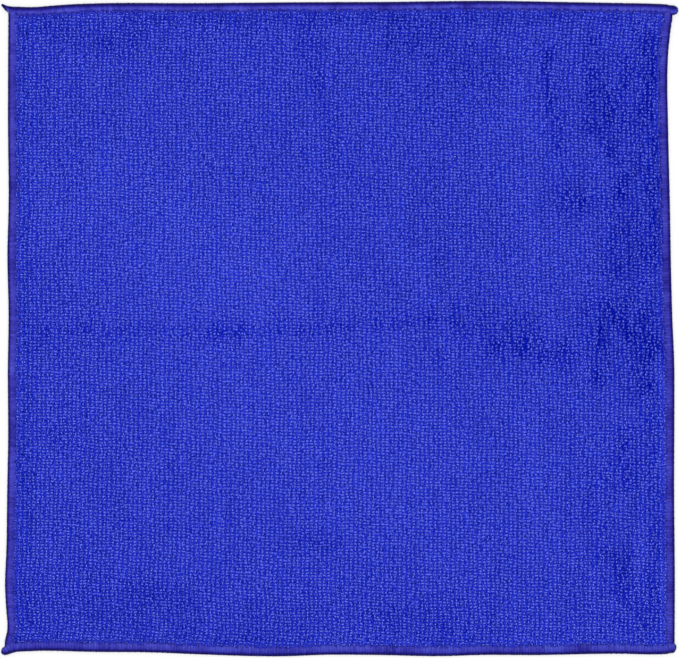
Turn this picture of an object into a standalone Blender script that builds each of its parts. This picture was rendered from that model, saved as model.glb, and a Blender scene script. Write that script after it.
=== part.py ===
"""A square microfibre cloth: a terry knit panel, and an overlocked edging sewn along each side.

+X is to the right and +Y up as the cloth is seen from above, and +Z is away from the table.
The origin is on the table under the middle of the cloth. Sizes are in millimetres.
"""

import math

import bmesh
import bpy
import numpy as np
from mathutils import Vector

MM = 0.001
TO_METRES = (MM, MM, MM)

# The straight lines that the outer edges waver about
CLOTH_WIDTH = 300.0
CLOTH_HEIGHT = 295.0

# The terry panel, and the thin trimmed rim that the edging is sewn over
PILE_TOP = 2.4
PILE_EDGE_DROP = 0.35
PILE_EDGE_WIDTH = 4.0
RIM_THICKNESS = 0.6
RIM_MIDDLE = 1.1
RIM_INSET = 1.0
RIM_CORNER = 4.0

# The edging: thread wrapped over the rim into a flat-bottomed bead
EDGING_WIDTH = 3.8
EDGING_HEIGHT = 2.1
EDGING_SIDES = 14
EDGING_SQUARENESS = 0.8
EDGING_FOOT = 0.12
EDGING_STEP = 9.0

CLEARANCE = 0.3

# Panel grid: rows lie closer together at the middle crease than elsewhere
COLUMN_STEP = 10.0
ROW_STEP = 11.0
CREASE_ROW_STEP = 3.5
CREASE_ROWS_FROM = -21.0
CREASE_ROWS_TO = 7.0

# How far each outer edge lies outside its straight line.
# Columns: distance along the side from its middle, outset.
TOP_WAVER = (
    (-150, -1.9), (-139, -2.2), (-125, -1.0), (-110, -0.4), (-67, -0.3), (-16, 0.1),
    (28, 0.3), (49, 0.6), (71, 0.7), (100, 0.2), (129, -0.3), (143, -0.6), (152, -1.2),
)
BOTTOM_WAVER = (
    (-152, -0.9), (-139, -1.7), (-110, -1.2), (-88, -1.1), (-60, 0.0), (-23, 0.7),
    (-9, 0.1), (20, 0.2), (46, 0.7), (64, 0.1), (85, 0.2), (129, -0.4), (143, -0.1), (152, -0.8),
)
LEFT_WAVER = (
    (-148, 0.4), (-141, 1.0), (-130, 0.6), (-119, 1.5), (-100, 0.8), (-76, 0.5),
    (-45, 0.0), (-20, 0.2), (8, -0.2), (33, 0.4), (56, -0.2), (90, 0.1), (148, -0.1),
)
RIGHT_WAVER = (
    (-148, 1.4), (-110, 1.5), (-76, 1.2), (-40, 1.3), (-13, 1.2), (4, 0.4),
    (27, -0.2), (60, -0.8), (90, -1.5), (119, -1.8), (130, -1.2), (140, -0.4), (148, 0.3),
)

# Soft troughs where the cloth was folded or pressed. Columns: start x and y, end x and y, depth, half width.
CREASES = (
    (-146, -1, 40, -1, 0.45, 4.0),
    (40, -1, 80, -10, 0.55, 7.0),
    (80, -10, 146, -7, 0.50, 8.0),
    (-15, 118, 5, 80, 0.20, 6.0),
    (5, 80, 46, 8, 0.20, 6.0),
    (96, 128, 100, 60, 0.30, 8.0),
    (121, 136, 124, 80, 0.25, 8.0),
)

# Broad swells and hollows of the pile. Columns: centre x and y, radius, rise.
SWELLS = (
    (-77, 31, 42, 0.20),
    (-22, 28, 34, 0.15),
    (84, -91, 36, 0.15),
    (-95, -118, 34, -0.20),
    (128, 78, 30, -0.15),
    (132, -128, 28, -0.15),
    (-5, -85, 30, -0.12),
)

# Where the thread ends stand out at the corners. Columns: x, y, half width of the bead there.
TOP_LEFT_TAIL = (
    (-152.4, 145.9, 0.65), (-151.3, 145.2, 1.0), (-150.0, 144.5, 1.45), (-147.8, 143.8, 1.85),
)
TOP_RIGHT_END = ((147.0, 144.8, 1.9), (150.6, 143.9, 2.2))
BOTTOM_LEFT_END = ((-151.0, -145.5, 2.0), (-148.8, -144.9, 2.2), (-145.0, -144.5, 1.9))
BOTTOM_RIGHT_END = ((147.6, -145.4, 1.9), (150.0, -144.5, 2.3))
END_ANGLES = (30, 55, 75)

# The side edgings butt against the top and bottom ones. Columns: lower end, upper end.
LEFT_SPAN = (-142.4, 141.7)
RIGHT_SPAN = (-142.0, 141.9)
FREE_END_REACH = 1.0
BUTTED_END_REACH = 0.35

TERRY_BLUE = (0.031, 0.048, 0.527, 1.0)
THREAD_VIOLET = (0.060, 0.045, 0.420, 1.0)


def smooth_value(table, station):
    """The table's value at a station, on a smooth curve through its rows."""
    stations, values = np.array(table, float).T
    slopes = np.gradient(values, stations)
    row = int(np.clip(np.searchsorted(stations, station) - 1, 0, len(stations) - 2))
    span = stations[row + 1] - stations[row]
    t = float(np.clip((station - stations[row]) / span, 0, 1))
    ease = t * t * (3 - 2 * t)
    leave = t * (1 - t) ** 2 * span * slopes[row]
    arrive = t * t * (t - 1) * span * slopes[row + 1]
    return (1 - ease) * values[row] + ease * values[row + 1] + leave + arrive


def left_x(y, inset=0.0):
    return inset - CLOTH_WIDTH / 2 - smooth_value(LEFT_WAVER, y)


def right_x(y, inset=0.0):
    return CLOTH_WIDTH / 2 + smooth_value(RIGHT_WAVER, y) - inset


def bottom_y(x, inset=0.0):
    return inset - CLOTH_HEIGHT / 2 - smooth_value(BOTTOM_WAVER, x)


def top_y(x, inset=0.0):
    return CLOTH_HEIGHT / 2 + smooth_value(TOP_WAVER, x) - inset


def spread(start, end, step):
    """Evenly spaced stations from start to end, no further apart than step."""
    return np.linspace(start, end, math.ceil(abs(end - start) / step) + 1)


def collection(name):
    made = bpy.data.collections.new(name)
    bpy.context.scene.collection.children.link(made)
    return made


def material(name, colour, roughness):
    made = bpy.data.materials.new(name)
    made.use_nodes = True
    surface = made.node_tree.nodes["Principled BSDF"]
    surface.inputs["Base Color"].default_value = colour
    surface.inputs["Roughness"].default_value = roughness
    surface.inputs["Metallic"].default_value = 0.0
    return made


def add_object(name, data, home):
    made = bpy.data.objects.new(name, data)
    home.objects.link(made)
    return made


def mesh_from_curve(curve_object):
    """Replaces a curve object by a closed mesh object of the same name."""
    bpy.context.view_layer.update()
    evaluated = curve_object.evaluated_get(bpy.context.evaluated_depsgraph_get())
    mesh = bpy.data.meshes.new_from_object(evaluated)
    bm = bmesh.new()
    bm.from_mesh(mesh)
    bmesh.ops.remove_doubles(bm, verts=bm.verts, dist=0.001 * MM)
    bmesh.ops.recalc_face_normals(bm, faces=bm.faces)
    bm.to_mesh(mesh)
    bm.free()
    name, home = curve_object.name, curve_object.users_collection[0]
    placed = curve_object.matrix_world.copy()
    bpy.data.objects.remove(curve_object)
    made = add_object(name, mesh, home)
    made.matrix_world = placed
    return made


def plate(name, outline, low, high, home):
    """A flat plate of this outline, from one height to another."""
    curve = bpy.data.curves.new(name, "CURVE")
    curve.dimensions = "2D"
    curve.fill_mode = "BOTH"
    curve.extrude = (high - low) / 2 * MM
    spline = curve.splines.new("POLY")
    spline.points.add(len(outline) - 1)
    for point, (x, y) in zip(spline.points, outline):
        point.co = (x * MM, y * MM, 0, 1)
    spline.use_cyclic_u = True
    made = add_object(name, curve, home)
    made.location.z = (low + high) / 2 * MM
    return mesh_from_curve(made)


def cloth_outline(inset, corner):
    """The cloth's outline moved inwards, with its corners cut off at this length."""
    half_width = CLOTH_WIDTH / 2 - inset - corner
    half_height = CLOTH_HEIGHT / 2 - inset - corner
    along = spread(-half_width, half_width, COLUMN_STEP)
    upwards = spread(-half_height, half_height, ROW_STEP)
    outline = [(x, bottom_y(x, inset)) for x in along]
    outline += [(right_x(y, inset), y) for y in upwards]
    outline += [(x, top_y(x, inset)) for x in along[::-1]]
    outline += [(left_x(y, inset), y) for y in upwards[::-1]]
    return outline


def distance_to_line(point, start, end):
    line = end - start
    share = min(max((point - start).dot(line) / line.length_squared, 0), 1)
    return (point - start - line * share).length


def crease_depth(point):
    """The deepest trough at a point: creases that meet don't add up."""
    depths = []
    for x0, y0, x1, y1, depth, half_width in CREASES:
        away = distance_to_line(point, Vector((x0, y0)), Vector((x1, y1)))
        depths.append(depth * math.exp(-((away / half_width) ** 2)))
    return max(depths)


def pile_height(x, y):
    """Height of the loops' tops above the table."""
    point = Vector((x, y))
    height = PILE_TOP - crease_depth(point)
    for centre_x, centre_y, radius, rise in SWELLS:
        away = (point - Vector((centre_x, centre_y))).length
        height += rise * math.exp(-((away / radius) ** 2))
    to_edge = min(x - left_x(y), right_x(y) - x, y - bottom_y(x), top_y(x) - y) - EDGING_WIDTH
    return height - PILE_EDGE_DROP * math.exp(-((to_edge / PILE_EDGE_WIDTH) ** 2))


def row_shares():
    """Where the panel's rows lie between its lower and upper edge, as shares."""
    inset = EDGING_WIDTH + CLEARANCE
    low, high = inset - CLOTH_HEIGHT / 2, CLOTH_HEIGHT / 2 - inset
    rows = np.concatenate([
        spread(low, CREASE_ROWS_FROM, ROW_STEP),
        spread(CREASE_ROWS_FROM, CREASE_ROWS_TO, CREASE_ROW_STEP)[1:],
        spread(CREASE_ROWS_TO, high, ROW_STEP)[1:],
    ])
    return (rows - low) / (high - low)


def panel_slab(name, home):
    """The panel's full thickness: flat underneath, softly uneven on top, within the edging."""
    inset = EDGING_WIDTH + CLEARANCE
    width, height = CLOTH_WIDTH - 2 * inset, CLOTH_HEIGHT - 2 * inset
    shares = row_shares()
    columns = math.ceil(width / COLUMN_STEP)
    bm = bmesh.new()
    bmesh.ops.create_grid(bm, x_segments=columns, y_segments=len(shares) - 1, size=0.5)
    for vertex in bm.verts:
        u = vertex.co.x + 0.5
        v = shares[round((vertex.co.y + 0.5) * (len(shares) - 1))]
        nominal_x, nominal_y = (u - 0.5) * width, (v - 0.5) * height
        x = (1 - u) * left_x(nominal_y, inset) + u * right_x(nominal_y, inset)
        y = (1 - v) * bottom_y(nominal_x, inset) + v * top_y(nominal_x, inset)
        vertex.co = (x, y, pile_height(x, y))
    top_faces = bm.faces[:]
    extruded = bmesh.ops.extrude_face_region(bm, geom=top_faces)["geom"]
    for vertex in extruded:
        if isinstance(vertex, bmesh.types.BMVert):
            vertex.co.z = 0.0
    bottom_faces = [face for face in extruded if isinstance(face, bmesh.types.BMFace)]
    bmesh.ops.dissolve_faces(bm, faces=bottom_faces)
    bmesh.ops.recalc_face_normals(bm, faces=bm.faces)
    bmesh.ops.scale(bm, vec=TO_METRES, verts=bm.verts)
    mesh = bpy.data.meshes.new(name)
    bm.to_mesh(mesh)
    bm.free()
    return add_object(name, mesh, home)


def combine(target, tool, operation):
    boolean = target.modifiers.new(f"{operation.lower()} {tool.name}", "BOOLEAN")
    boolean.operation = operation
    boolean.solver = "EXACT"
    boolean.object = tool


def guide(thing):
    thing.hide_render = True
    thing.display_type = "WIRE"
    return thing


def finish(thing, surface):
    thing.data.materials.clear()
    thing.data.materials.append(surface)
    thing.data.shade_smooth()
    thing.data.set_sharp_from_angle(angle=math.radians(40))


def build_panel(parts, cutters, surface):
    """The terry panel with the thin rim all round that the edging holds."""
    panel = panel_slab("terry_panel", parts)
    low = RIM_MIDDLE - RIM_THICKNESS / 2
    high = RIM_MIDDLE + RIM_THICKNESS / 2
    rim = guide(plate("rim", cloth_outline(RIM_INSET, RIM_CORNER), low, high, cutters))
    combine(panel, rim, "UNION")
    finish(panel, surface)
    return panel


def build_rim_room(cutters):
    """The slot that the edging leaves for the panel's rim."""
    low = RIM_MIDDLE - RIM_THICKNESS / 2 - CLEARANCE
    high = RIM_MIDDLE + RIM_THICKNESS / 2 + CLEARANCE
    outline = cloth_outline(RIM_INSET - CLEARANCE, RIM_CORNER)
    return guide(plate("rim_room", outline, low, high, cutters))


def bead_profile(cutters):
    """The edging's section for a half width of 1 m, which each point along the bead scales."""
    curve = bpy.data.curves.new("bead_profile", "CURVE")
    curve.dimensions = "2D"
    spline = curve.splines.new("POLY")
    spline.points.add(EDGING_SIDES - 1)
    half_height = EDGING_HEIGHT / EDGING_WIDTH
    for side, point in enumerate(spline.points):
        angle = 2 * math.pi * (side + 0.5) / EDGING_SIDES
        across = math.copysign(abs(math.cos(angle)) ** EDGING_SQUARENESS, math.cos(angle))
        up = math.copysign(abs(math.sin(angle)) ** EDGING_SQUARENESS, math.sin(angle))
        height = half_height * (1 + up) * (1 + EDGING_FOOT) - 2 * half_height * EDGING_FOOT
        point.co = (across, max(height, 0.0), 0, 1)
    spline.use_cyclic_u = True
    return guide(add_object("bead_profile", curve, cutters))


def round_end(last, before, reach):
    """Points that round a bead off past its last full section, reaching this share of its half width."""
    centre, heading = Vector(last[:2]), Vector(last[:2]) - Vector(before[:2])
    heading.normalize()
    radius = last[2]
    points = []
    for degrees in END_ANGLES:
        angle = math.radians(degrees)
        x, y = centre + heading * reach * radius * math.sin(angle)
        points.append((x, y, radius * math.cos(angle)))
    return points


def build_edging(name, sections, reach, profile, rim_room, parts, surface):
    """A bead through these sections (x, y, half width), slotted for the panel's rim."""
    sections = round_end(sections[0], sections[1], reach)[::-1] + sections
    sections = sections + round_end(sections[-1], sections[-2], reach)
    curve = bpy.data.curves.new(name, "CURVE")
    curve.dimensions = "3D"
    curve.twist_mode = "Z_UP"
    curve.bevel_mode = "OBJECT"
    curve.bevel_object = profile
    curve.use_fill_caps = True
    spline = curve.splines.new("POLY")
    spline.points.add(len(sections) - 1)
    for point, (x, y, half_width) in zip(spline.points, sections):
        point.co = (x * MM, y * MM, 0, 1)
        point.radius = half_width * MM
    bead = mesh_from_curve(add_object(name, curve, parts))
    combine(bead, rim_room, "DIFFERENCE")
    finish(bead, surface)
    return bead


def top_sections():
    half = EDGING_WIDTH / 2
    along = spread(TOP_LEFT_TAIL[-1][0], TOP_RIGHT_END[0][0], EDGING_STEP)[1:-1]
    return [*TOP_LEFT_TAIL, *((x, top_y(x, half), half) for x in along), *TOP_RIGHT_END]


def bottom_sections():
    half = EDGING_WIDTH / 2
    along = spread(BOTTOM_LEFT_END[-1][0], BOTTOM_RIGHT_END[0][0], EDGING_STEP)[1:-1]
    return [*BOTTOM_LEFT_END, *((x, bottom_y(x, half), half) for x in along), *BOTTOM_RIGHT_END]


def upright_sections(edge_x, span):
    """Sections of a side edging between the bottom and top ones."""
    half = EDGING_WIDTH / 2
    end = BUTTED_END_REACH * half
    return [(edge_x(y, half), y, half) for y in spread(span[0] + end, span[1] - end, EDGING_STEP)]


def main():
    for thing in list(bpy.data.objects):
        bpy.data.objects.remove(thing)
    parts = collection("microfibre_cloth")
    cutters = collection("cutters")
    terry = material("terry_blue", TERRY_BLUE, 0.9)
    thread = material("thread_violet", THREAD_VIOLET, 0.6)

    build_panel(parts, cutters, terry)
    rim_room = build_rim_room(cutters)
    profile = bead_profile(cutters)
    edgings = (
        ("overlock_top", top_sections(), FREE_END_REACH),
        ("overlock_bottom", bottom_sections(), FREE_END_REACH),
        ("overlock_left", upright_sections(left_x, LEFT_SPAN), BUTTED_END_REACH),
        ("overlock_right", upright_sections(right_x, RIGHT_SPAN), BUTTED_END_REACH),
    )
    for name, sections, reach in edgings:
        build_edging(name, sections, reach, profile, rim_room, parts, thread)


main()
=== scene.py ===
# A blue microfibre cloth lying flat: terry knit with real loops, and overlocked edges.
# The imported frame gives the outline, the edging's course and the pile's height.
# Lengths are in millimetres, and become metres when a mesh is made.
import math

import bpy
import numpy as np
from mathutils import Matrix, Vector
from mathutils.bvhtree import BVHTree


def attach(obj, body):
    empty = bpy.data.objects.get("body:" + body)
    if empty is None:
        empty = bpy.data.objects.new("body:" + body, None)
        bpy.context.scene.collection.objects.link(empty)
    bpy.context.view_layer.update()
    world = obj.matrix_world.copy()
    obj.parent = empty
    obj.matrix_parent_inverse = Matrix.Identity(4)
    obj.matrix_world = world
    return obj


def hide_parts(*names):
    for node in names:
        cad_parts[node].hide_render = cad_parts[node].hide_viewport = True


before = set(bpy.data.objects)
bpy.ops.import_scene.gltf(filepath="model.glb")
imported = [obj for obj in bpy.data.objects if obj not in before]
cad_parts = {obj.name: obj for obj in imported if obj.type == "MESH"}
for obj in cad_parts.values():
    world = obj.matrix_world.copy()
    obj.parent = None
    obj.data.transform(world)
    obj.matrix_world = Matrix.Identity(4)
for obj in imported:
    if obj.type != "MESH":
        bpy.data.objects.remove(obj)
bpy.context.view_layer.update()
mm = 0.001
seed = 31

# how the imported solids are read
reading = {
    "step": 0.25, "margin": 0.02,       # between the cuts across an edging, and from its two ends
    "smoothing": 5.0,                   # reach of the running mean along it
    "tuckRounding": 1.5,                # the rounded end that a tucked edging loses
    "trimRounding": 1.8,                # the rounded end that a trimmed edging gets
    # the pile's grid: its step, how far inside the loops' edge it lies, its smoothing, and where rays start
    "pileStep": 2.5, "pileInset": 1.0, "pilePasses": 2, "above": 50.0,
}


def nodeArrays(name):
    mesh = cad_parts[name].data
    points = np.empty(len(mesh.vertices) * 3)
    mesh.vertices.foreach_get("co", points)
    edges = np.empty(len(mesh.edges) * 2, int)
    mesh.edges.foreach_get("vertices", edges)
    return points.reshape(-1, 3) / mm, edges.reshape(-1, 2)


def softened(values, reach, keepEnds):
    # a weighted running mean over this many stations each side, which fades out towards both ends
    kernel = np.convolve(np.ones(reach), np.ones(reach))
    kernel /= kernel.sum()
    smooth = np.convolve(np.pad(values, reach - 1, mode="edge"), kernel, mode="valid")
    station = np.arange(len(values))
    toEnd = np.minimum(station, station[::-1])
    share = np.clip((toEnd - keepEnds) / keepEnds, 0, 1)
    return smooth * share + values * (1 - share)


def bumps(along, atStart, atEnd):
    # smooth bumps near a line's two ends, each with its distance from the end, half width and height
    total = np.zeros_like(along)
    for away, atOneEnd in ((along - along[0], atStart), (along[-1] - along, atEnd)):
        for place, wide, height in atOneEnd:
            total += height * np.exp(-((away - place) / wide) ** 2)
    return total


def readRun(name, axis, outward, tuck=0.0, bends=((), ()), swells=((), ()), trim=(0, 0)):
    # an edging's centre line, headings and half widths, from cuts across its CAD solid.
    # An end that is tucked under another edging loses its rounding and goes on this far.
    # Near its start and end it can bend outwards, swell inwards, or be cut shorter
    points, edges = nodeArrays(name)
    step, margin = reading["step"], reading["margin"]
    lowest, highest = points[:, axis].min() + trim[0], points[:, axis].max() - trim[1]
    stations = np.linspace(lowest + margin, highest - margin, int((highest - lowest) / step))
    spans = []
    for station in stations:
        ahead = points[:, axis] - station
        cut = edges[ahead[edges[:, 0]] * ahead[edges[:, 1]] < 0]
        share = ahead[cut[:, 0]] / (ahead[cut[:, 0]] - ahead[cut[:, 1]])
        across = points[cut[:, 0], 1 - axis] * (1 - share) + points[cut[:, 1], 1 - axis] * share
        spans.append((across.min(), across.max()))
    spans = np.array(spans)
    if tuck:
        rounded = int(reading["tuckRounding"] / step)
        more = int(tuck / step)
        spans = np.pad(spans[rounded:-rounded], ((rounded + more,) * 2, (0, 0)), mode="edge")
        stations = np.linspace(lowest - tuck, highest + tuck, len(spans))
    spans += outward * bumps(stations, *bends)[:, None]
    spans[:, 0 if outward > 0 else 1] -= outward * bumps(stations, *swells)
    reach = int(reading["smoothing"] / step)
    middle = softened(spans.mean(axis=1), reach, reach)
    half = softened((spans[:, 1] - spans[:, 0]) / 2, reach, reach)
    for trimmed, away in zip(trim, (stations - lowest, highest - stations)):
        if trimmed:
            half = half * (1 - np.clip(1 - away / reading["trimRounding"], 0, 1) ** 3) ** (1 / 3)
    line = np.empty((len(stations), 2))
    line[:, axis] = stations
    line[:, 1 - axis] = middle
    heading = np.gradient(line, axis=0)
    heading /= np.linalg.norm(heading, axis=1, keepdims=True)
    turned = np.stack([-heading[:, 1], heading[:, 0]], axis=1)
    out = turned * np.sign(turned[:, 1 - axis] * outward)[:, None]
    arc = np.concatenate([[0], np.cumsum(np.linalg.norm(np.diff(line, axis=0), axis=1))])
    return {"arc": arc, "line": line, "heading": heading, "out": out,
            "half": half * np.abs(heading[:, axis]), "axis": axis}


def runAt(run, arc):
    # centre, heading, outward direction and half width at these lengths along a run
    def at(values):
        return np.stack([np.interp(arc, run["arc"], column) for column in values.T], axis=-1)
    return at(run["line"]), at(run["heading"]), at(run["out"]), np.interp(arc, run["arc"], run["half"])


def sideLine(run, inset, stations):
    # where the line this far inside a run's outer edge lies, by the station along the side
    edge = run["line"] + run["out"] * (run["half"] - inset)[:, None]
    return np.interp(stations, edge[:, run["axis"]], edge[:, 1 - run["axis"]])


# Each bend and swell has its distance from the run's start or end, its half width and its height
runs = {
    "top": readRun("overlock_top", 0, 1,
                   bends=([(0, 2.2, 0.40)], [(0.5, 2.0, 0.12)]), swells=((), [(2.5, 1.5, 0.2)])),
    "bottom": readRun("overlock_bottom", 0, -1, trim=(0, 0.5),
                      bends=([(1.5, 2.0, 0.40), (7.0, 4.0, -0.42)], ()),
                      swells=([(2.5, 1.5, 0.3)], [(2.0, 2.5, 0.6)])),
    "left": readRun("overlock_left", 1, -1, tuck=1.8, bends=([(1.8, 4.0, 0.7), (9.3, 4.5, -0.5)], ())),
    "right": readRun("overlock_right", 1, 1, tuck=1.8, bends=((), [(2.8, 6.0, 0.8), (12.3, 3.0, 0.25)])),
}
edgingWidth = 2 * float(np.median(runs["top"]["half"]))
edgeInset = edgingWidth + 0.15      # where the loops begin
# how much further in the threads reach on each side
bandExtra = {"top": 0.0, "bottom": 0.6, "left": 0.1, "right": 0.25}


def sideToSide(near, far):
    # the distance between two opposite sides, whose wavering the medians over 200 mm leave out
    along = np.linspace(-100, 100, 50)
    return float(np.median(sideLine(runs[far], 0, along)) - np.median(sideLine(runs[near], 0, along)))


clothSize = (sideToSide("left", "right"), sideToSide("bottom", "top"))


def intoOutline(alongX, alongY, inset, extra=0.0):
    # moves nominal places so that the lattice follows the four uneven sides
    halfX, halfY = clothSize[0] / 2 - inset, clothSize[1] / 2 - inset
    u, v = alongX / halfX / 2 + 0.5, alongY / halfY / 2 + 0.5
    left, right, bottom, top = (
        sideLine(runs[name], inset + extra * bandExtra[name], along)
        for name, along in (("left", alongY), ("right", alongY), ("bottom", alongX), ("top", alongX)))
    return (1 - u) * left + u * right, (1 - v) * bottom + v * top


def readPile():
    # heights of the CAD panel's face on an even grid, with its facets smoothed away
    points, _ = nodeArrays("terry_panel")
    faces = [list(face.vertices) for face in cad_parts["terry_panel"].data.polygons]
    solid = BVHTree.FromPolygons([Vector(point) for point in points], faces)
    halfX, halfY = (size / 2 - edgeInset - reading["pileInset"] for size in clothSize)
    xs = np.linspace(-halfX, halfX, int(2 * halfX / reading["pileStep"]))
    ys = np.linspace(-halfY, halfY, int(2 * halfY / reading["pileStep"]))
    down = Vector((0, 0, -1))
    heights = np.array([
        [solid.ray_cast(Vector((x, y, reading["above"])), down)[0].z for x in xs] for y in ys])
    for axis in (0, 1) * reading["pilePasses"]:
        heights = np.apply_along_axis(softened, axis, heights, reach=2, keepEnds=1)
    return {"xs": xs, "ys": ys, "heights": heights}


def pileHeight(x, y):
    # the face's height at these places, between the nearest four of the grid
    xs, ys, z = pile["xs"], pile["ys"], pile["heights"]
    column = np.clip((x - xs[0]) / (xs[1] - xs[0]), 0, len(xs) - 1.001)
    row = np.clip((y - ys[0]) / (ys[1] - ys[0]), 0, len(ys) - 1.001)
    i, j = column.astype(int), row.astype(int)
    s, t = column - i, row - j
    low = z[j, i] * (1 - s) + z[j, i + 1] * s
    high = z[j + 1, i] * (1 - s) + z[j + 1, i + 1] * s
    return low * (1 - t) + high * t


pile = readPile()
print("frame read: cloth", [round(size, 1) for size in clothSize], "edging", round(edgingWidth, 2))


# Painted light and shade over the pile, and its ruffled places. Each row is a soft stroke: from x and y,
# to x and y, half width, how much paler it is painted (darker, as painted shade, below 0), and how ruffled
# it is
shadeStrokes = (
    # painted shade along the crease across the middle, darkest and most ruffled at its right end
    (-146, 0, -63, -1.3, 3.0, -0.30, 0.5), (-62, -1, -47, -2, 5.5, -0.36, 0.9),
    (-47, -2.2, 41, 3.6, 3.0, -0.36, 0.6), (39, 4, 39, 4, 3.6, -0.44, 0.5),
    (44, -12, 44, -12, 5, -0.42, 0.3), (54, 4, 66, 0, 9, -0.43, 0.5),
    (72, -8, 100, -11, 6, -0.72, 1.0), (82, 3, 82, 3, 6, -0.92, 0.7),
    (100, -8, 113, -3, 5, -0.05, 0.6), (116, 10, 118, -21, 5, -0.80, 0.8),
    (127, 4, 143, -8, 9, -1.30, 0.9), (136, -14, 136, -26, 6, -0.75, 0.7),
    # upright streaks of painted shade on the right, above the crease and below it
    (94, 124, 94, 99, 3.5, -0.76, 1.0), (99, 94, 100, 81, 4, -0.42, 0.7),
    (105, 58, 105, 58, 7, -0.85, 0.9), (102, 71, 113, 56, 4, -0.12, 0.5),
    (114, 130, 114, 90, 3.5, -1.05, 0.9), (120, 108, 122.5, 81, 4, -0.85, 0.8),
    (128, 121, 129, 90, 4, -0.66, 0.8), (127, 71, 126, 26, 5, -0.90, 0.7),
    (140, 130, 141, 35, 7, -0.90, 0.8), (136, 35, 138, 8, 6, -0.45, 0.5),
    (141, -28, 141, -141, 6, -0.25, 0.5), (128, -48, 129, -69, 6, -0.44, 0.7),
    (126, -105, 128, -132, 6, -0.65, 0.6), (113, -69, 118, -105, 8, -0.12, 0.3),
    # painted shade along the soft fold that comes down from the top and around it, with a little painted
    # light beside it
    (-18, 139, -9.6, 108, 6, -0.35, 0.4), (-9.6, 108, 0.3, 81, 4, -0.25, 0.3),
    (0.3, 81, 15, 56, 4, -0.15, 0.2), (15, 56, 41, 8, 3, 0.10, 0.0),
    (9, 62, 38, 18, 4, 0.12, 0.0), (46, 105, 46, 105, 17, -0.28, 0.2),
    (27, 135, 64, 121, 10, -0.50, 0.2), (46, 49, 46, 49, 22, -0.14, 0.0),
    # painted shade at places along the other sides, a few a little ruffled
    (-140, 136, -95, 130, 7, -0.45, 0.2), (-106, 127, -106, 127, 5, -0.40, 0.4),
    (-144, 139, -144, 4, 3, -0.48, 0.1), (-143, -8, -143, -141, 4, -0.44, 0.1),
    (-126, -47, -126, -47, 5, -0.15, 0.3), (-120, -105, -63, -125, 5, -0.27, 0.1),
    (-93, -118, -83, -122, 5, -0.25, 0.3), (-144, -124, -18, -141, 11, -0.31, 0.0),
    (18, -128, 64, -141, 9, -0.38, 0.1), (-18, -96, -4, -98, 5, -0.56, 0.3),
    (-5, -61, -5, -61, 4, -0.38, 0.3), (-95, 141, 130, 141, 4, -0.53, 0.1),
    # painted light at paler places, with one spot of painted shade
    (-75, 40, -50, 22, 36, 0.38, 0.0), (-122, 58, -122, 58, 25, 0.20, 0.0),
    (-54, 24, -25, 28, 9, 0.03, 0.0), (-40, -40, 20, -60, 45, 0.25, 0.0),
    (80, 108, 86, 17, 8, 0.18, 0.0), (100, 35, 100, 35, 8, 0.05, 0.0),
    (82, -33, 93, -105, 9, 0.19, 0.0), (107, -118, 107, -118, 9, -0.14, 0.0),
    (34, -78, 34, -78, 10, 0.05, 0.0), (-120, 121, -120, 121, 6, 0.35, 0.0),
)

shadeFields = {
    # painted shade in faint upright streaks all over, growing towards the right
    "streaks": 0.07, "streakWide": 5, "streakLong": 6,      # faint upright streaks all over
    "plainUpTo": 85, "growsOver": 25, "growsBy": 1.5,       # they grow towards the right
    # how uneven a ruffled stroke is, and the limits of that and of the shade
    "ragged": 0.40, "raggedWide": 4, "raggedLong": 1.5, "raggedRange": (0.2, 2),
    "shadeRange": (-1.5, 0.8),
}


def softField(x, y, size, which):
    # smooth random values, mean 0 and spread 1, with blots about this wide
    rng = np.random.default_rng(seed * 100 + which)
    total = np.zeros_like(x, dtype=float)
    waves = 28
    for _ in range(waves):
        angle, phase = rng.uniform(0, 2 * math.pi, 2)
        rate = 2 * math.pi / (size * rng.uniform(1.3, 3.0))
        total += np.cos((x * math.cos(angle) + y * math.sin(angle)) * rate + phase)
    return total * math.sqrt(2 / waves)


def shadeAndRuffle(x, y):
    # how much paler the pile is painted at these places (painted light and shade), and how ruffled it is
    # from 0 to 1
    growing = 1 + np.clip((x - shadeFields["plainUpTo"]) / shadeFields["growsOver"], 0, shadeFields["growsBy"])
    shade = shadeFields["streaks"] * softField(x, y / shadeFields["streakLong"], shadeFields["streakWide"], 7) * growing
    ruffle = np.zeros_like(x)
    ragged = 1 + shadeFields["ragged"] * softField(x, y / shadeFields["raggedLong"], shadeFields["raggedWide"], 1)
    ragged = np.clip(ragged, *shadeFields["raggedRange"])
    for x0, y0, x1, y1, halfWidth, paler, ruffledBy in shadeStrokes:
        lengthSquared = max((x1 - x0) ** 2 + (y1 - y0) ** 2, 1e-6)
        share = np.clip(((x - x0) * (x1 - x0) + (y - y0) * (y1 - y0)) / lengthSquared, 0, 1)
        away = np.hypot(x - x0 - share * (x1 - x0), y - y0 - share * (y1 - y0)) / halfWidth
        near = np.exp(-away ** 2)
        shade = shade + paler * near * (ragged if ruffledBy else 1)
        ruffle = np.maximum(ruffle, ruffledBy * near)
    return np.clip(shade, *shadeFields["shadeRange"]), np.clip(ruffle * ragged, 0, 1)


def raised(places, height):
    # flat places or directions, with this height as their third number
    return np.concatenate([places, np.broadcast_to(height, places.shape[:-1])[..., None]], axis=-1)


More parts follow.
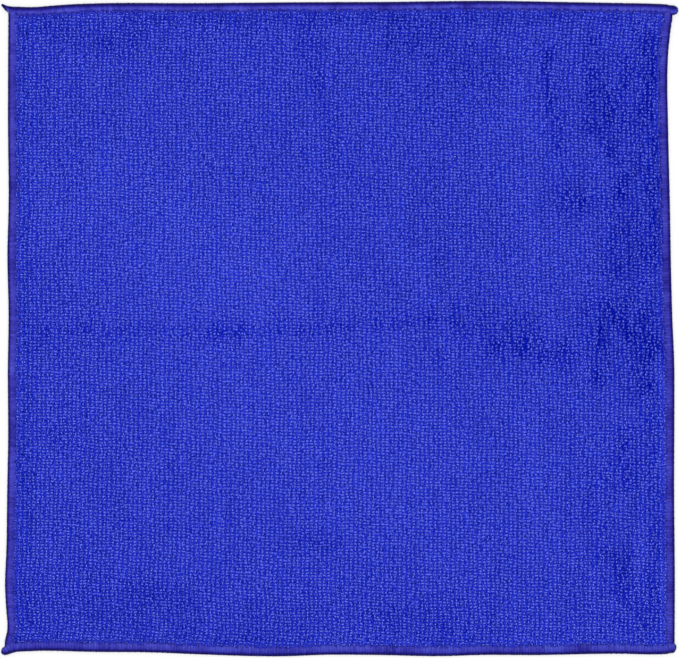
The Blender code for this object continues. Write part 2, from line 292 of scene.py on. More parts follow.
def tubes(lines, side, wide, tall, tone, sides=4, underTone=0.6):
    # closed spindles: a line's first and last points are tips, and each point between carries a ring
    count, stops = lines.shape[:2]
    rings = stops - 2
    tangent = lines[:, 2:] - lines[:, :-2]
    tangent /= np.linalg.norm(tangent, axis=2, keepdims=True)
    side = side / np.linalg.norm(side, axis=2, keepdims=True)
    up = np.cross(tangent, side)
    up /= np.linalg.norm(up, axis=2, keepdims=True)
    angle = 2 * math.pi * np.arange(sides) / sides
    ringPoints = (
        lines[:, 1:-1, None, :]
        + side[:, :, None, :] * (wide[:, :, None] * np.sin(angle))[..., None]
        + up[:, :, None, :] * (tall[:, :, None] * np.cos(angle))[..., None]
    )
    points = np.concatenate(
        [lines[:, :1], ringPoints.reshape(count, rings * sides, 3), lines[:, -1:]], axis=1)
    # painted shade underneath: each ring point darkens the more it faces down, to underTone times its tone
    # at the bottom
    upward = up[:, :, 2:3] * np.cos(angle)
    shade = tone[:, 1:-1, None] * (1 - (1 - underTone) * (1 - upward) / 2)
    tones = np.concatenate([tone[:, :1], shade.reshape(count, rings * sides), tone[:, -1:]], axis=1)

    turn = np.arange(sides)
    turnOn = (turn + 1) % sides
    lastRing = 1 + (rings - 1) * sides
    startCap = np.stack([np.zeros(sides, int), 1 + turnOn, 1 + turn], axis=1)
    endCap = np.stack([lastRing + turn, lastRing + turnOn, np.full(sides, lastRing + sides)], axis=1)
    ring = np.repeat(np.arange(rings - 1), sides)
    here = 1 + ring * sides + np.tile(turn, rings - 1)
    beside = 1 + ring * sides + np.tile(turnOn, rings - 1)
    quads = np.stack([here, beside, beside + sides, here + sides], axis=1)

    def mapped(*corners):
        # the faces' places in the map, from each corner's share along the tube and around it
        return np.stack([np.stack(np.broadcast_arrays(*corner), axis=1) for corner in corners], axis=1)
    along = np.arange(stops) / (stops - 1)
    around, aroundOn = turn / sides, (turn + 1) / sides
    middle = (around + aroundOn) / 2
    near, far = along[1 + ring], along[2 + ring]
    tiled, tiledOn = np.tile(around, rings - 1), np.tile(aroundOn, rings - 1)
    uvCaps = np.concatenate([
        mapped((0.0, middle), (along[1], aroundOn), (along[1], around)),
        mapped((along[-2], around), (along[-2], aroundOn), (1.0, middle))])
    uvQuads = mapped((near, tiled), (near, tiledOn), (far, tiledOn), (far, tiled))

    start = np.arange(count)[:, None, None] * points.shape[1]
    return {
        "points": points.reshape(-1, 3), "tones": tones.ravel(), "count": count,
        "threes": (np.concatenate([startCap, endCap])[None] + start).reshape(-1, 3),
        "fours": (quads[None] + start).reshape(-1, 4),
        "uvThree": np.broadcast_to(uvCaps, (count, *uvCaps.shape)),
        "uvFour": np.broadcast_to(uvQuads, (count, *uvQuads.shape)),
    }


def joined(parts):
    # several sets of tubes as one, each tube with its own cell of the map
    count = sum(part["count"] for part in parts)
    columns = math.ceil(math.sqrt(count))
    grid = np.array([columns, math.ceil(count / columns)])
    cells = np.stack([np.arange(count) % columns, np.arange(count) // columns], axis=1)
    border, filled = 0.06, 0.88
    pointsBefore, tubesBefore = 0, 0
    made = {"points": [], "tones": [], "threes": [], "fours": [], "uvThree": [], "uvFour": []}
    for part in parts:
        corner = cells[tubesBefore:tubesBefore + part["count"], None, None, :]
        for key in ("points", "tones"):
            made[key].append(part[key])
        for key in ("threes", "fours"):
            made[key].append(part[key] + pointsBefore)
        for key in ("uvThree", "uvFour"):
            places = (corner + border + filled * part[key]) / grid
            made[key].append(places.reshape(-1, places.shape[2], 2))
        pointsBefore += len(part["points"])
        tubesBefore += part["count"]
    return {key: np.concatenate(values) for key, values in made.items()}


def finished(mesh, uv, tones, material, ruffle=None):
    # gives a mesh its map, its yarn and what its points tell the yarn, and puts it in the scene
    mesh.uv_layers.new(name="OFBake").data.foreach_set("uv", uv.astype(np.float32).ravel())
    for label, values in (("tone", tones), ("ruffle", ruffle)):
        if values is not None:
            layer = mesh.attributes.new(label, "FLOAT", "POINT")
            layer.data.foreach_set("value", values.astype(np.float32))
    mesh.shade_smooth()
    mesh.materials.append(material)
    thing = bpy.data.objects.new(mesh.name, mesh)
    bpy.context.scene.collection.objects.link(thing)
    print(mesh.name, len(mesh.loops) - 2 * len(mesh.polygons), "triangles")
    return thing


def addTubes(name, arrays, material, ruffle=None):
    threes, fours = arrays["threes"], arrays["fours"]
    mesh = bpy.data.meshes.new(name)
    mesh.vertices.add(len(arrays["points"]))
    mesh.vertices.foreach_set("co", (arrays["points"] * mm).astype(np.float32).ravel())
    corners = np.concatenate([threes.ravel(), fours.ravel()])
    mesh.loops.add(len(corners))
    mesh.loops.foreach_set("vertex_index", corners.astype(np.int32))
    starts = np.concatenate([np.arange(len(threes)) * 3, threes.size + np.arange(len(fours)) * 4])
    mesh.polygons.add(len(starts))
    mesh.polygons.foreach_set("loop_start", starts.astype(np.int32))
    mesh.update(calc_edges=True)
    uv = np.concatenate([arrays["uvThree"].reshape(-1, 2), arrays["uvFour"].reshape(-1, 2)])
    return finished(mesh, uv, arrays["tones"], material, ruffle)


class Value:
    # a value socket that Python's operators turn into Math nodes
    def __init__(self, shader, socket):
        self.shader, self.socket = shader, socket

    def maths(self, operation, first, second):
        node = self.shader.node("ShaderNodeMath", {"operation": operation}, {0: first, 1: second})
        return Value(self.shader, node.outputs[0])

    def __add__(self, other):
        return self.maths("ADD", self, other)

    def __radd__(self, other):
        return self.maths("ADD", other, self)

    def __sub__(self, other):
        return self.maths("SUBTRACT", self, other)

    def __rsub__(self, other):
        return self.maths("SUBTRACT", other, self)

    def __mul__(self, other):
        return self.maths("MULTIPLY", self, other)

    def __rmul__(self, other):
        return self.maths("MULTIPLY", other, self)


class Shader:
    # a material's nodes, around its Principled BSDF
    def __init__(self, name):
        self.material = bpy.data.materials.new(name)
        self.material.use_nodes = True
        self.tree = self.material.node_tree
        self.surface = self.tree.nodes["Principled BSDF"]

    def node(self, kind, settings=None, inputs=None):
        made = self.tree.nodes.new(kind)
        for key, value in (settings or {}).items():
            if key == "stops":
                self.setStops(made.color_ramp, value)
            else:
                setattr(made, key, value)
        for key, value in (inputs or {}).items():
            self.plug(made.inputs[key], value)
        return made

    def factor(self, kind, settings=None, inputs=None):
        # a node's factor, ready for maths
        return Value(self, self.node(kind, settings, inputs).outputs["Fac"])

    def setStops(self, ramp, stops):
        while len(ramp.elements) < len(stops):
            ramp.elements.new(1.0)
        for element, (place, colour) in zip(ramp.elements, stops):
            element.position = place
            element.color = colour

    def plug(self, socket, value):
        if isinstance(value, Value):
            value = value.socket
        if isinstance(value, bpy.types.NodeSocket):
            self.tree.links.new(value, socket)
        else:
            socket.default_value = value

    def finish(self, **inputs):
        for key, value in inputs.items():
            self.plug(self.surface.inputs[key.replace("_", " ")], value)
        return self.material


yarn = {
    "fibreDetail": 3.0, "fibreRoughness": 0.6, "blotDetail": 2.0,
    "ruffledFlecks": 0.7,       # how much stronger the flecks are where the pile is ruffled
    "roughnessSpread": 0.2, "sheenRoughness": 0.5,
}


def yarnMaterial(name, look):
    # soft yarn coloured by its points' tone: painted shade makes it dark and pure in its depths, painted
    # highlight paler on its crowns, with a fibrous surface
    shader = Shader(name)
    place = shader.node("ShaderNodeTexCoord").outputs["Object"]
    tone = shader.factor("ShaderNodeAttribute", {"attribute_name": "tone"})
    ruffle = shader.factor("ShaderNodeAttribute", {"attribute_name": "ruffle"})
    fibres = shader.factor("ShaderNodeTexNoise", {}, {
        "Vector": place, "Scale": look["fibreScale"],
        "Detail": yarn["fibreDetail"], "Roughness": yarn["fibreRoughness"]})
    flecks = shader.factor("ShaderNodeTexNoise", {"noise_dimensions": "2D"}, {
        "Vector": place, "Scale": look["fleckScale"], "Detail": 0.0})
    blots = shader.factor("ShaderNodeTexNoise", {}, {
        "Vector": place, "Scale": look["blotScale"], "Detail": yarn["blotDetail"]})
    level = tone + (fibres - 0.5) * look["fibreTone"] + (blots - 0.5) * look["blotTone"]
    level = level + (flecks - 0.5) * (1 + yarn["ruffledFlecks"] * ruffle) * look["fleckTone"]
    colour = shader.node("ShaderNodeValToRGB", {"stops": look["stops"]}, {"Fac": level})
    bump = shader.node("ShaderNodeBump", {}, {
        "Strength": look["bump"], "Distance": look["bumpDepth"] * mm, "Height": fibres})
    return shader.finish(
        Base_Color=colour.outputs["Color"],
        Roughness=look["roughness"] + (fibres - 0.5) * yarn["roughnessSpread"],
        Normal=bump.outputs["Normal"],
        Specular_IOR_Level=look["specular"],
        Sheen_Weight=look["sheen"],
        Sheen_Roughness=yarn["sheenRoughness"],
        Sheen_Tint=look["sheenTint"],
    )


# the palest stops carry painted highlight for the loops' crowns, the darkest painted shade for their depths
terryLook = {
    "stops": (
        (0.0, (0.000, 0.004, 0.36, 1)),
        (0.3, (0.021, 0.041, 0.61, 1)),
        (0.5, (0.077, 0.113, 0.79, 1)),
        (1.0, (0.159, 0.213, 0.97, 1)),
    ),
    "fibreScale": 4000.0, "fibreTone": 0.50, "fleckScale": 1950.0, "fleckTone": 2.5,
    "blotScale": 60.0, "blotTone": 0.15,
    "roughness": 0.45, "specular": 0.12, "bump": 0.5, "bumpDepth": 0.10,
    "sheen": 0.04, "sheenTint": (0.55, 0.62, 1.0, 1),
}

threadLook = {
    "stops": (
        (0.0, (0.002, 0.0005, 0.09, 1)),
        (0.3, (0.012, 0.009, 0.24, 1)),
        (0.65, (0.045, 0.043, 0.45, 1)),
        (0.95, (0.064, 0.078, 0.56, 1)),
    ),
    "fibreScale": 5000.0, "fibreTone": 0.15, "fleckScale": 900.0, "fleckTone": 0.15,
    "blotScale": 120.0, "blotTone": 0.10,
    "roughness": 0.6, "specular": 0.08, "bump": 0.5, "bumpDepth": 0.08,
    "sheen": 0.03, "sheenTint": (0.70, 0.65, 1.0, 1),
}

# the knit shows only in the gaps between the loops, so its colours are darker with painted shade
groundLook = {
    "stops": (
        (0.0, (0.000, 0.002, 0.26, 1)),
        (0.5, (0.009, 0.022, 0.56, 1)),
        (1.0, (0.054, 0.078, 0.82, 1)),
    ),
    "fibreScale": 4000.0, "fibreTone": 0.25, "fleckScale": 2000.0, "fleckTone": 1.6,
    "blotScale": 60.0, "blotTone": 0.15,
    "roughness": 0.9, "specular": 0.0, "bump": 0.4, "bumpDepth": 0.08,
    "sheen": 0.0, "sheenTint": (0.55, 0.62, 1.0, 1),
}

terryBlue = yarnMaterial("terry_yarn", terryLook)
terryDepths = yarnMaterial("terry_depths", groundLook)
threadViolet = yarnMaterial("overlock_thread", threadLook)


terry = {
    # pitch across, pitch up, and the angle by which the courses fall to the right
    "wale": 1.98, "course": 1.39, "slant": 3.4,
    # one loop: foot to foot, then half width and half thickness at its crown
    "span": 2.60, "wide": 0.615, "tall": 0.45, "sizeSpread": 0.02,
    # its five points and three rings, from foot over crown to foot
    "shares": (-0.5, -0.11, 0.0, 0.11, 0.5), "lift": (0.0, 0.60, 1.0, 0.60, 0.0),
    "rings": (0.92, 0.94, 0.92),
    # how deep the pile is, how far its feet go into the knit, how much a crown's thickness lowers it,
    # how far it may stand proud, and how far the side threads catch the outermost loops
    "pileDepth": 0.75, "footDepth": 0.25, "crownSink": 0.9, "proud": 0.12, "caught": 0.75,
    # how unevenly the loops stand
    "walePhase": 0.14, "phaseReach": 9, "drift": 0.11, "driftSize": 7, "waver": 0.12, "waverSize": 9,
    "jitter": (0.04, 0.03), "yaw": 10.0, "lean": (0.25, 0.15), "twist": 0.16, "heightSpread": 0.06,
    # how pale crown, legs, feet and undersides are, with painted highlight on the crown and painted shade
    # down the legs, on the feet and underneath, how much a stroke's painted light and shade changes that,
    # and how much a loop's crown and legs differ from its neighbours'
    "crownTone": 0.705, "legTone": 0.51, "footShade": 0.75, "underTone": 0.35, "paintedShadeTone": 0.28,
    "speckle": (0.38, 0.37),
    # painted shade beside the threads: its reach, and how much darker crowns and legs are painted
    "edgeShadeReach": 3.2, "edgeShadeCrown": 0.22, "edgeShadeLegs": 0.20,
    "bands": 4,
}

# how a wholly ruffled loop differs from one that stands well, with shade shares for how much painted shade
# its crown and legs take, and a little painted highlight on its crown
ruffled = {
    "deeper": 0.35, "lower": 0.35, "lean": 0.6, "twist": 1.4, "narrower": 0.12,
    "crownShadeShare": -0.6, "crownSpeckle": 1.9, "crownPaler": 0.06, "legShadeShare": 0.2, "legSpeckle": 0.7,
}


def speckle(rng, wales, courses):
    # differences between each loop and those round it, which make no blotches larger than a loop
    grid = rng.normal(0, 1, (wales + 2, courses + 2))
    around = sum(grid[a:a + wales, b:b + courses] for a in range(3) for b in range(3)) / 9
    return grid[1:-1, 1:-1] - around


def loopPlaces():
    # nominal places of the loops: upright wales, with courses that fall a little to the right.
    # The outermost wales are caught by the side threads
    halfX, halfY = clothSize[0] / 2 - edgeInset + terry["caught"], clothSize[1] / 2 - edgeInset
    wales = int(2 * halfX / terry["wale"])
    fall = math.tan(math.radians(terry["slant"]))
    courses = int((2 * halfY + 2 * halfX * fall) / terry["course"]) + 2
    i, j = np.meshgrid(np.arange(wales), np.arange(courses), indexing="ij")
    x = (i + 0.5) * (2 * halfX / wales) - halfX
    y = (j + 0.5) * terry["course"] - halfY - halfX * fall - x * fall
    rng = np.random.default_rng(seed)
    walePhase = np.cumsum(rng.normal(0, terry["walePhase"], wales))
    walePhase -= softened(walePhase, terry["phaseReach"], 1)
    y = y + walePhase[i] + terry["drift"] * softField(x, y, terry["driftSize"], 2)
    x = x + terry["waver"] * softField(x, y, terry["waverSize"], 3)
    # neighbours up a wale lean the same way, which opens upright gaps between wales
    twist = rng.normal(0, 1, (wales, courses + 2))
    twist = (twist[:, :-2] + 2 * twist[:, 1:-1] + twist[:, 2:]) / math.sqrt(6)
    inside = (np.abs(y) < halfY) & (np.abs(x) < halfX)
    toEdge = np.minimum(halfX - np.abs(x), halfY - np.abs(y))
    return [values[inside] for values in (x, y, toEdge, twist, speckle(rng, wales, courses))]


def terryLoops():
    # the pile, each loop a spindle of yarn that goes up from the knit and down again
    x, y, toEdge, twist, differing = loopPlaces()
    x, y = intoOutline(x, y, edgeInset, extra=1)
    rng = np.random.default_rng(seed + 1)
    shade, rough = shadeAndRuffle(x, y)
    count = len(x)
    x = x + rng.normal(0, terry["jitter"][0], count) * (1 + rough)
    y = y + rng.normal(0, terry["jitter"][1], count) * (1 + rough)
    top = pileHeight(x, y) - terry["tall"] * terry["crownSink"]
    foot = pileHeight(x, y) - terry["pileDepth"] * (1 + ruffled["deeper"] * rough)
    standing = 1 + terry["heightSpread"] * differing - ruffled["lower"] * rough * rng.random(count)
    rise = np.minimum((top - foot) * standing, top - foot + terry["proud"])
    yaw = np.radians(rng.normal(0, terry["yaw"], count) * (1 + rough))
    along = np.stack([np.cos(yaw), np.sin(yaw)], axis=1)
    lean = rng.normal(0, 1, (count, 2)) * terry["lean"] * (1 + ruffled["lean"] * rough)[:, None]
    lean[:, 0] += terry["twist"] * twist * (1 + ruffled["twist"] * rough)
    size = 1 + rng.normal(0, terry["sizeSpread"], count)

    shares, lift, rings = (np.array(terry[key]) for key in ("shares", "lift", "rings"))
    reach = terry["span"] * size
    lines = np.zeros((count, len(shares), 3))
    lines[:, :, :2] = (
        np.stack([x, y], axis=1)[:, None, :]
        + along[:, None, :] * (reach[:, None] * shares)[..., None]
        + lean[:, None, :] * lift[:, None]
    )
    lines[:, :, 2] = foot[:, None] + rise[:, None] * lift
    lines[:, [0, -1], 2] -= terry["footDepth"]
    side = raised(np.stack([-along[:, 1], along[:, 0]], axis=1), 0.0)
    side = np.broadcast_to(side[:, None], (count, len(rings), 3))
    wide = terry["wide"] * (size * (1 - ruffled["narrower"] * rough))[:, None] * rings
    tall = terry["tall"] * size[:, None] * rings

    # painted highlight on the crown, painted shade down the legs and at the feet, with the strokes' painted
    # light and shade
    crownTone = terry["crownTone"] + terry["paintedShadeTone"] * shade * (1 + ruffled["crownShadeShare"] * rough)
    crownTone += (terry["speckle"][0] * differing * (1 + ruffled["crownSpeckle"] * rough)
                  + ruffled["crownPaler"] * rough)
    legTone = terry["legTone"] + terry["paintedShadeTone"] * shade * (1 + ruffled["legShadeShare"] * rough)
    legTone -= terry["speckle"][1] * differing * (1 + ruffled["legSpeckle"] * rough)
    # painted shade on the loops beside the threads
    edgeShaded = np.clip(1 - toEdge / terry["edgeShadeReach"], 0, 1)
    crownTone -= terry["edgeShadeCrown"] * edgeShaded
    legTone -= terry["edgeShadeLegs"] * edgeShaded
    footTone = terry["footShade"] * legTone
    tone = np.stack([footTone, legTone, crownTone, legTone, footTone], axis=1)

    pieces = []
    order = np.argsort(y, kind="stable")
    for band, own in enumerate(np.array_split(order, terry["bands"])):
        puffs = tubes(lines[own], side[own], wide[own], tall[own], tone[own], underTone=terry["underTone"])
        ruffle = np.repeat(rough[own], len(puffs["points"]) // len(own))
        pieces.append(addTubes(f"terry_loops_{band + 1}", joined([puffs]), terryBlue, ruffle))
    return pieces


ground = {
    "faceWide": 2.8, "per": 2,              # a face above, and how many lie under it each way
    "hollow": 0.62, "unevenness": 0.16,     # how far the underside rises between its knobs
    "rimUnder": 0.8, "rimFace": 1.4, "rimFade": 0.6,        # the trimmed rim, inside the edging
    # the underside's knobs paler and its hollows darker with painted shade
    "knobTone": 0.75, "hollowTone": 0.2, "toneSpread": 0.08,
    # the face dark with painted shade, and darker still where the pile is ruffled
    "faceTone": 0.45, "paintedShadeTone": 0.22, "ruffledShade": 0.15,
    # painted light on the face beside the threads, which lifts the groove's shade
    "edgePaler": 0.20, "edgeReach": 1.2, "edgeFade": 1.5,       # beside the threads
    "mapWide": 0.48, "mapShift": 0.51,      # the underside takes the map's left part, the face its right
}


def gridFaces(number):
    # the four corners of each cell in a grid of point numbers, so that the faces look up
    return np.stack([
        number[:-1, :-1], number[1:, :-1], number[1:, 1:], number[:-1, 1:]], axis=2).reshape(-1, 4)


def terryGround():
    # the knit that holds the loops: a thin sheet, with the back's loops as its knobbly underside
    inset, per = edgingWidth / 2, ground["per"]
    halfX, halfY = clothSize[0] / 2 - inset, clothSize[1] / 2 - inset
    fineX, fineY = (per * (int(2 * half / ground["faceWide"]) + 1) for half in (halfX, halfY))
    i, j = np.meshgrid(np.arange(fineX + 1), np.arange(fineY + 1), indexing="ij")
    nominalX, nominalY = (i / fineX * 2 - 1) * halfX, (j / fineY * 2 - 1) * halfY
    x, y = intoOutline(nominalX, nominalY, inset)
    rng = np.random.default_rng(seed + 2)
    knobs = (i + j) % 2 == 0
    under = np.where(knobs, 0.0, ground["hollow"]) + rng.uniform(0, ground["unevenness"], i.shape)
    underTone = np.where(knobs, ground["knobTone"], ground["hollowTone"])
    underTone = underTone + rng.normal(0, ground["toneSpread"], i.shape)
    toEdge = np.minimum(halfX - np.abs(nominalX), halfY - np.abs(nominalY))
    covered = np.clip((inset + ground["rimFade"] - toEdge) / ground["rimFade"], 0, 1)
    under = under * (1 - covered) + ground["rimUnder"] * covered
    face = (pileHeight(x, y) - terry["pileDepth"]) * (1 - covered) + ground["rimFace"] * covered

    lower = np.stack([x, y, under], axis=2).reshape(-1, 3)
    lowNumber = np.arange(len(lower)).reshape(i.shape)
    upper = np.stack([x, y, face], axis=2)[::per, ::per]
    upNumber = len(lower) + np.arange(upper.shape[0] * upper.shape[1]).reshape(upper.shape[:2])
    upper = upper.reshape(-1, 3)
    # the rim's wall: each face spans one step above and several finer ones below
    walls = []
    for lowRow, upRow in (
        (lowNumber[:, 0], upNumber[:, 0]), (lowNumber[-1, :], upNumber[-1, :]),
        (lowNumber[::-1, -1], upNumber[::-1, -1]), (lowNumber[0, ::-1], upNumber[0, ::-1]),
    ):
        below, above = lowRow.tolist(), upRow.tolist()
        for step in range(len(above) - 1):
            walls.append([*below[step * per:(step + 1) * per + 1], above[step + 1], above[step]])
    points = np.concatenate([lower, upper])
    underFaces = gridFaces(lowNumber)[:, [0, 3, 2, 1]]
    faces = [*underFaces.tolist(), *gridFaces(upNumber).tolist(), *walls]
    mesh = bpy.data.meshes.new("terry_knit")
    mesh.from_pydata((points * mm).tolist(), [], faces)

    shade, rough = shadeAndRuffle(upper[:, 0], upper[:, 1])
    faceTone = ground["faceTone"] + ground["paintedShadeTone"] * shade - ground["ruffledShade"] * rough
    nearEdge = (edgeInset + ground["edgeReach"] - toEdge[::per, ::per].ravel()) / ground["edgeFade"]
    faceTone += ground["edgePaler"] * np.clip(nearEdge, 0, 1)
    corners = np.empty(len(mesh.loops), int)
    mesh.loops.foreach_get("vertex_index", corners)
    uv = points[:, :2] / clothSize + 0.5
    uv[:, 0] *= ground["mapWide"]
    uv[len(lower):, 0] += ground["mapShift"]
    return finished(mesh, uv[corners], np.concatenate([underTone.ravel(), faceTone]), terryDepths)


overlock = {
    "stitch": 2.5, "slant": 0.12,           # stitch length, and how far a strand leans along the edge
    "height": 2.1, "squareness": 0.8,
    "innerReach": 1.12, "innerSquareness": 0.30,            # the threads lie flatter over the pile
    "purl": 0.46, "besidePurl": 0.55, "leastBand": 0.6,     # room for the knots along the outer edge
    "strandWide": 0.95, "strandTall": 0.22, "underTall": 0.8, "sides": (5, 4), "leastSize": 0.25,
    "overCore": 0.75, "endGap": 0.7, "placeSpread": 0.07, "sizeSpread": 0.07, "unevenness": 0.24,
    "toneSpread": 0.09, "toneDrift": 0.32, "driftReach": 5, "toneSpeckle": 0.06,
    # near a free end, over this length, the threads only reach round the roll
    "endReach": 0.82, "endTurn": 2.5,
    # how much darker the threads are near a run's start: half width and share
    "startShade": {"top": (1, 0), "bottom": (7, 0.26), "left": (11, 0.28), "right": (6, 0.24)},
    # a strand's points from its inner end over the top to the outer edge, as angles up from the
    # outer side, and how pale it is at each, with painted shade on the side that turns down and out and
    # painted light that differs from side to side
    "overAngles": (176, 158, 135, 108, 80, 52, 26, 4, -14),
    "tones": {
        "top": (0.48, 0.46, 0.58, 0.80, 0.46, 0.15, 0.08, 0.05, 0.03),
        "bottom": (0.74, 0.72, 0.72, 0.72, 0.52, 0.18, 0.08, 0.05, 0.03),
        "left": (0.72, 0.66, 0.52, 0.54, 0.64, 0.46, 0.18, 0.08, 0.05),
        "right": (0.62, 0.66, 0.66, 0.65, 0.60, 0.34, 0.14, 0.06, 0.04),
    },
    # the same under the roll
    "underAngles": (186, 215, 270, 325, 352), "underTones": (0.2, 0.5, 0.6, 0.5, 0.2),
}


def spaced(length, count):
    # the middles of this many equal steps
    return (np.arange(count) + 0.5) * length / count


def bandPoint(run, arc, angle, shrink, innerReach):
    # a point on the thread bundle's section, this angle up from its outer side
    centre, heading, out, half = runAt(run, arc)
    bandHalf = np.maximum(half - overlock["purl"] * overlock["besidePurl"], half * overlock["leastBand"])
    centre = centre - out * (half - bandHalf)[..., None]
    thick = overlock["height"] / edgingWidth * half
    cosine, sine = np.cos(angle), np.sin(angle)
    across = np.sign(cosine) * np.abs(cosine) ** overlock["squareness"]
    lift = np.sign(sine) * np.abs(sine) ** overlock["squareness"]
    inner = (cosine < 0) & (sine > 0)
    across = np.where(inner, across * innerReach, across)
    lift = np.where(inner, np.abs(sine) ** overlock["innerSquareness"], lift)
    place = centre + out * (across * (bandHalf - shrink))[..., None]
    return raised(place, thick + lift * (thick - shrink)), heading, half


def strands(run, name, angles, tones, tall, sides, offset):
    # threads laid side by side across the edge, leaning one way and then the other
    length = run["arc"][-1]
    step = overlock["stitch"] / 2
    count = int((length - step) / step)
    middle = overlock["endGap"] + spaced(length - 2 * overlock["endGap"], count)
    rng = np.random.default_rng(seed + 3 + offset)
    leaning = np.where(np.arange(count) % 2 == 0, 1, -1) * overlock["slant"]
    angle = np.radians(np.broadcast_to(np.array(angles, float), (count, len(angles))))
    arc = middle[:, None] + leaning[:, None] * np.cos(angle)
    arc = np.clip(arc + rng.normal(0, overlock["placeSpread"], count)[:, None], 0, length)
    innerReach = overlock["innerReach"] + bandExtra[name] / (edgingWidth / 2)
    innerReach = innerReach + rng.normal(0, overlock["unevenness"], (count, 1))
    if run["axis"] == 0:
        toEnd = np.minimum(arc, length - arc)
        past = np.clip((toEnd - overlock["endTurn"]) / overlock["endTurn"], 0, 1)
        innerReach = overlock["endReach"] + (innerReach - overlock["endReach"]) * past
    place, heading, half = bandPoint(run, arc, angle, tall * overlock["overCore"], innerReach)
    place[..., 2] = np.maximum(place[..., 2], tall)
    relative = np.clip(half / (edgingWidth / 2), overlock["leastSize"], 1)
    size = (1 + rng.normal(0, overlock["sizeSpread"], count))[:, None] * np.sqrt(relative[:, 1:-1])
    drift = softened(rng.normal(0, 1, count), overlock["driftReach"], 1)
    strandTone = 1 + rng.normal(0, overlock["toneSpread"], count) + overlock["toneDrift"] * drift
    tone = np.array(tones) * strandTone[:, None]
    tone = tone * (1 + rng.normal(0, overlock["toneSpeckle"], tone.shape))
    shadeWidth, shadeDepth = overlock["startShade"][name]
    tone = tone * (1 - shadeDepth * np.exp(-(arc / shadeWidth) ** 2))
    side = raised(heading, 0.0)[:, 1:-1]
    return tubes(place, side, overlock["strandWide"] * size, tall * size, tone, sides=sides, underTone=1.0)


bundle = {
    "ends": (0, 0.12, 0.4, 0.9, 1.6), "evenFrom": 2.5,      # its stations, from an end inwards
    # how far inside the threads it lies, and at most by which share of their half width
    "inside": 0.45, "mostInside": 0.4, "lower": 0.30,
    "inwards": 0.1, "above": 0.02, "tone": 0.60, "sides": 10,
}


def core(run):
    # the rolled bundle under the threads
    length = run["arc"][-1]
    ends = np.array(bundle["ends"])
    even = np.linspace(bundle["evenFrom"], length - bundle["evenFrom"], int(length / overlock["stitch"]))
    arc = np.concatenate([ends, even, length - ends[::-1]])
    centre, heading, out, half = runAt(run, arc)
    half = half - np.minimum(bundle["inside"], half * bundle["mostInside"])
    middleHeight = overlock["height"] / 2
    tall = np.minimum(middleHeight - bundle["lower"], half)
    height = np.maximum(middleHeight * half / half.max() + bundle["above"], tall)
    line = raised(centre - out * bundle["inwards"], height)
    side = raised(np.stack([heading[:, 1], -heading[:, 0]], axis=1), 0.0)
    return tubes(line[None], side[None, 1:-1], half[None, 1:-1], tall[None, 1:-1],
                 np.full((1, len(arc)), bundle["tone"]), sides=bundle["sides"])


knots = {
    "shares": (-0.85, -0.4, 0.4, 0.85), "thickest": 0.6, "upright": 1.3, "height": 0.42,
    "alternate": 0.03, "spread": 0.015, "tone": 0.08, "toneSpread": 0.02, "sides": 5,
}


def purlEdge(run):
    # the knots where the threads interlock round the outer edge, nearly black with painted shade
    length = run["arc"][-1]
    step = overlock["stitch"] / 2
    count = int(length / step)
    rng = np.random.default_rng(seed + 9)
    shares = np.array(knots["shares"]) * step
    arc = np.clip(spaced(length, count)[:, None] + shares, 0, length)
    centre, _, out, half = runAt(run, arc)
    thick = np.minimum(overlock["purl"], half * knots["thickest"])
    bulge = np.where(np.arange(count) % 2 == 0, 0.0, -knots["alternate"])[:, None]
    bulge = bulge + rng.normal(0, knots["spread"], (count, 1))
    reach = half - thick + bulge
    place = raised(centre + out * reach[..., None], overlock["height"] * knots["height"])
    tone = np.full(arc.shape, knots["tone"]) + rng.normal(0, knots["toneSpread"], (count, 1))
    side, thick = raised(out, 0.0)[:, 1:-1], thick[:, 1:-1]
    return tubes(place, side, thick, thick * knots["upright"], tone, sides=knots["sides"])


tip = {
    "back": (5.0, 4, 3, 2, 1.3, 0.8, 0.45, 0.2, 0.08),      # its stations' distances from the end
    "thick": 0.42, "thickest": 0.55, "upright": 1.5, "height": 0.45, "tone": 0.06, "sides": 6,
}


def endRoll(run, atStart):
    # the tight thread round a run's free end, from the outer side over the tip to the inner side, nearly
    # black with painted shade
    back = np.array(tip["back"])
    centre, _, out, half = runAt(run, back if atStart else run["arc"][-1] - back)
    thick = np.minimum(tip["thick"], half * tip["thickest"])
    outer = centre + out * (half - thick)[:, None]
    inner = centre - out * (half - thick)[:, None]
    line = np.concatenate([outer, inner[::-1]])
    thick = np.concatenate([thick, thick[::-1]])[None, 1:-1]
    heading = np.gradient(line, axis=0)
    heading /= np.linalg.norm(heading, axis=1, keepdims=True)
    side = raised(np.stack([-heading[:, 1], heading[:, 0]], axis=1), 0.0)
    place = raised(line, overlock["height"] * tip["height"])
    return tubes(place[None], side[None, 1:-1], thick, thick * tip["upright"],
                 np.full((1, len(line)), tip["tone"]), sides=tip["sides"])


needle = {
    # each stitch is darker at its two low ends, where it dips towards the pile, as painted shade
    "shares": (-0.26, -0.10, 0.10, 0.26), "heights": (1.2, 1.90, 1.90, 1.2), "tones": (0.4, 1, 1, 0.4),
    "tone": 0.75, "inset": 0.45, "wide": 0.40, "flatter": 0.8, "fromEnds": 4,
}


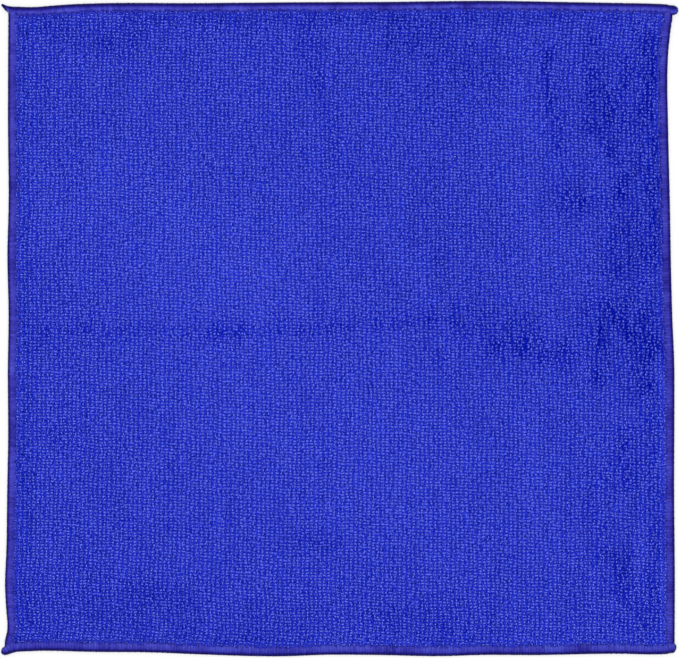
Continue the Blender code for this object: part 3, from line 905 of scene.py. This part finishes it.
def needleLine(run, name):
    # the needle thread's short stitches along the inner edge of the threads
    length = run["arc"][-1]
    middle = spaced(length, int(length / overlock["stitch"]))
    middle = middle[(middle > needle["fromEnds"]) & (middle < length - needle["fromEnds"])]
    arc = middle[:, None] + np.array(needle["shares"]) * overlock["stitch"]
    centre, _, out, half = runAt(run, arc)
    inwards = half + needle["inset"] + bandExtra[name]
    place = raised(centre - out * inwards[..., None], np.array(needle["heights"]))
    wide = np.full((len(arc), 2), needle["wide"])
    tone = np.tile(needle["tone"] * np.array(needle["tones"]), (len(arc), 1))
    return tubes(place, raised(out, 0.0)[:, 1:-1], wide, wide * needle["flatter"], tone)


def edging(name, order):
    # one side's roll, with the strands over it and under it and the threads along its two edges
    run = runs[name]
    tall = overlock["strandTall"]
    underTall = tall * overlock["underTall"]
    over, under = overlock["sides"]
    parts = [
        core(run),
        strands(run, name, overlock["overAngles"], overlock["tones"][name], tall, over, order),
        strands(run, name, overlock["underAngles"], overlock["underTones"], underTall, under, order + 20),
        purlEdge(run),
        needleLine(run, name),
    ]
    if run["axis"] == 0:
        parts += [endRoll(run, True), endRoll(run, False)]
    return addTubes(f"overlock_{name}_thread", joined(parts), threadViolet)


loops = terryLoops()
knit = terryGround()
edgings = {name: edging(name, order) for order, name in enumerate(runs)}

for piece in (knit, *loops):
    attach(piece, "root")
for name, piece in edgings.items():
    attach(piece, "root")
    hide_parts(f"overlock_{name}")
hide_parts("terry_panel")

studio = {
    "photoWide": 306.72, "photoCentre": (-0.18, -0.18),     # what the photograph spans on the cloth
    "cameraHeight": 1600.0, "clothTop": 2.0, "sensor": 36.0,
    "lampSize": 1.3, "lampHeight": 1.9, "lampPower": 28.0,      # metres and watts
    "sky": 0.42, "skyColour": (0.98, 0.99, 1.0, 1),
    "floorSize": 8.0, "floorHeight": -0.00002, "grain": 40.0,
    "floorStops": ((0.0, (0.94, 0.94, 0.93, 1)), (1.0, (0.95, 0.95, 0.94, 1))),
}


def addFloor():
    bpy.ops.mesh.primitive_plane_add(size=studio["floorSize"], location=(0, 0, studio["floorHeight"]))
    floor = bpy.context.object
    floor.name = "floor"
    shader = Shader("pale_floor")
    place = shader.node("ShaderNodeTexCoord").outputs["Object"]
    grain = shader.factor("ShaderNodeTexNoise", {}, {"Vector": place, "Scale": studio["grain"]})
    shade = shader.node("ShaderNodeValToRGB", {"stops": studio["floorStops"]}, {"Fac": grain})
    floor.data.materials.append(shader.finish(
        Base_Color=shade.outputs["Color"], Roughness=0.9, Specular_IOR_Level=0.0))


def addLight():
    lamp = bpy.data.lights.new("softbox", "AREA")
    lamp.shape = "SQUARE"
    lamp.size = studio["lampSize"]
    lamp.energy = studio["lampPower"]
    softbox = bpy.data.objects.new("softbox", lamp)
    softbox.location = (0, 0, studio["lampHeight"])
    softbox.visible_camera = False
    bpy.context.scene.collection.objects.link(softbox)
    world = bpy.data.worlds.new("studio")
    world.use_nodes = True
    sky = world.node_tree.nodes["Background"]
    sky.inputs["Color"].default_value = studio["skyColour"]
    sky.inputs["Strength"].default_value = studio["sky"]
    bpy.context.scene.world = world


def addCamera():
    lens = bpy.data.cameras.new("camera")
    lens.sensor_width = studio["sensor"]
    lens.lens = studio["sensor"] * (studio["cameraHeight"] - studio["clothTop"]) / studio["photoWide"]
    camera = bpy.data.objects.new("camera", lens)
    centreX, centreY = studio["photoCentre"]
    camera.location = (centreX * mm, centreY * mm, studio["cameraHeight"] * mm)
    bpy.context.scene.collection.objects.link(camera)
    bpy.context.scene.camera = camera


addFloor()
addLight()
addCamera()
bpy.context.scene.view_settings.view_transform = "Standard"
print("floor, light and camera placed")
